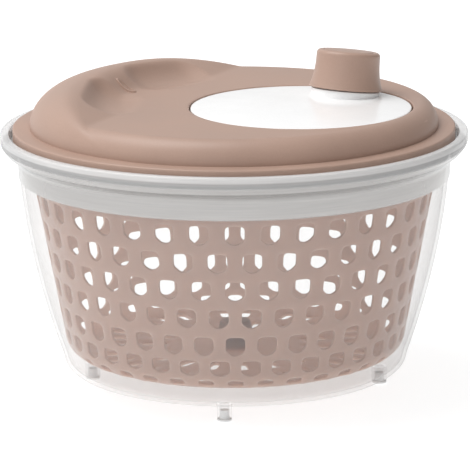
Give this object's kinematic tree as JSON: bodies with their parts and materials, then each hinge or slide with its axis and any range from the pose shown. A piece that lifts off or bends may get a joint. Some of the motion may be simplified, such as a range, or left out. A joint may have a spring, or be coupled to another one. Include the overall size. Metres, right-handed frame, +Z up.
{
  "type": "salad spinner",
  "caption": "Salad spinner: clear bowl on feet, perforated basket on a pivot, beige lid with a grip hump and an offset white crank disc with a knob, geared to the basket.",
  "frame": {"origin": "on the table, under the bowl's axis", "axes": "+Z up along the bowl's axis, +X from that axis towards the middle of the crank disc"},
  "size_m": [0.258, 0.258, 0.187],
  "materials": {
    "clear_bowl": "clear moulded plastic, polished, with a frosted band under the lip",
    "soft_plug": "translucent soft plastic",
    "basket_plastic": "satin moulded plastic",
    "lid_plastic": "satin moulded plastic",
    "knob_plastic": "satin moulded plastic",
    "white_plastic": "glossy white moulded plastic",
    "tray_plastic": "satin white moulded plastic",
    "bearing_plastic": "natural bearing plastic",
    "gear_plastic": "natural gear plastic",
    "steel": "turned stainless steel"
  },
  "bodies": {
    "bowl": {"bowl": "clear_bowl", "foot_plugs": "soft_plug", "pivot_pin": "steel"},
    "pivot": {"pivot_bush": "bearing_plastic"},
    "basket": {"basket": "basket_plastic"},
    "lid": {"lid_cover": "lid_plastic", "gear_tray": "tray_plastic", "tray_screws": "steel", "axle_bush": "bearing_plastic", "spindle_bush": "bearing_plastic"},
    "crank": {"crank_disc": "white_plastic", "ring_gear": "gear_plastic", "crank_axle": "steel", "axle_washers": "steel", "axle_clip": "steel", "knob_axle": "steel", "knob_clip": "steel"},
    "knob": {"knob": "knob_plastic", "knob_sleeve": "white_plastic", "knob_cap": "knob_plastic"},
    "driver": {"pinion": "gear_plastic", "drive_spindle": "steel", "spindle_washer": "steel", "drive_plate": "tray_plastic", "drive_washer": "steel", "drive_screw": "steel"}
  },
  "joints": [
    {"name": "lid_lift", "type": "slide", "parent": "bowl", "child": "lid", "axis": [0, 0, 1], "range_m": [0, 0.28]},
    {"name": "crank_spin", "type": "hinge", "parent": "lid", "child": "crank", "pos_m": [0.0405, 0, 0.155], "axis": [0, 0, 1], "continuous": true},
    {"name": "knob_spin", "type": "hinge", "parent": "crank", "child": "knob", "pos_m": [0.0507, 0.03806, 0.16407], "axis": [0.036, 0.1344, 0.9903], "continuous": true},
    {"name": "driver_spin", "type": "hinge", "parent": "lid", "child": "driver", "pos_m": [0, 0, 0.145], "axis": [0, 0, 1], "continuous": true},
    {"name": "basket_lift", "type": "slide", "parent": "bowl", "child": "pivot", "axis": [0, 0, 1], "range_m": [0, 0.14]},
    {"name": "basket_spin", "type": "hinge", "parent": "pivot", "child": "basket", "pos_m": [0, 0, 0.02], "axis": [0, 0, 1], "continuous": true}
  ],
  "couplings": [
    {"joint": "driver_spin", "follows": "crank_spin", "ratio": 4},
    {"joint": "basket_spin", "follows": "crank_spin", "ratio": 4},
    {"joint": "basket_lift", "follows": "lid_lift", "ratio": 0.5}
  ]
}
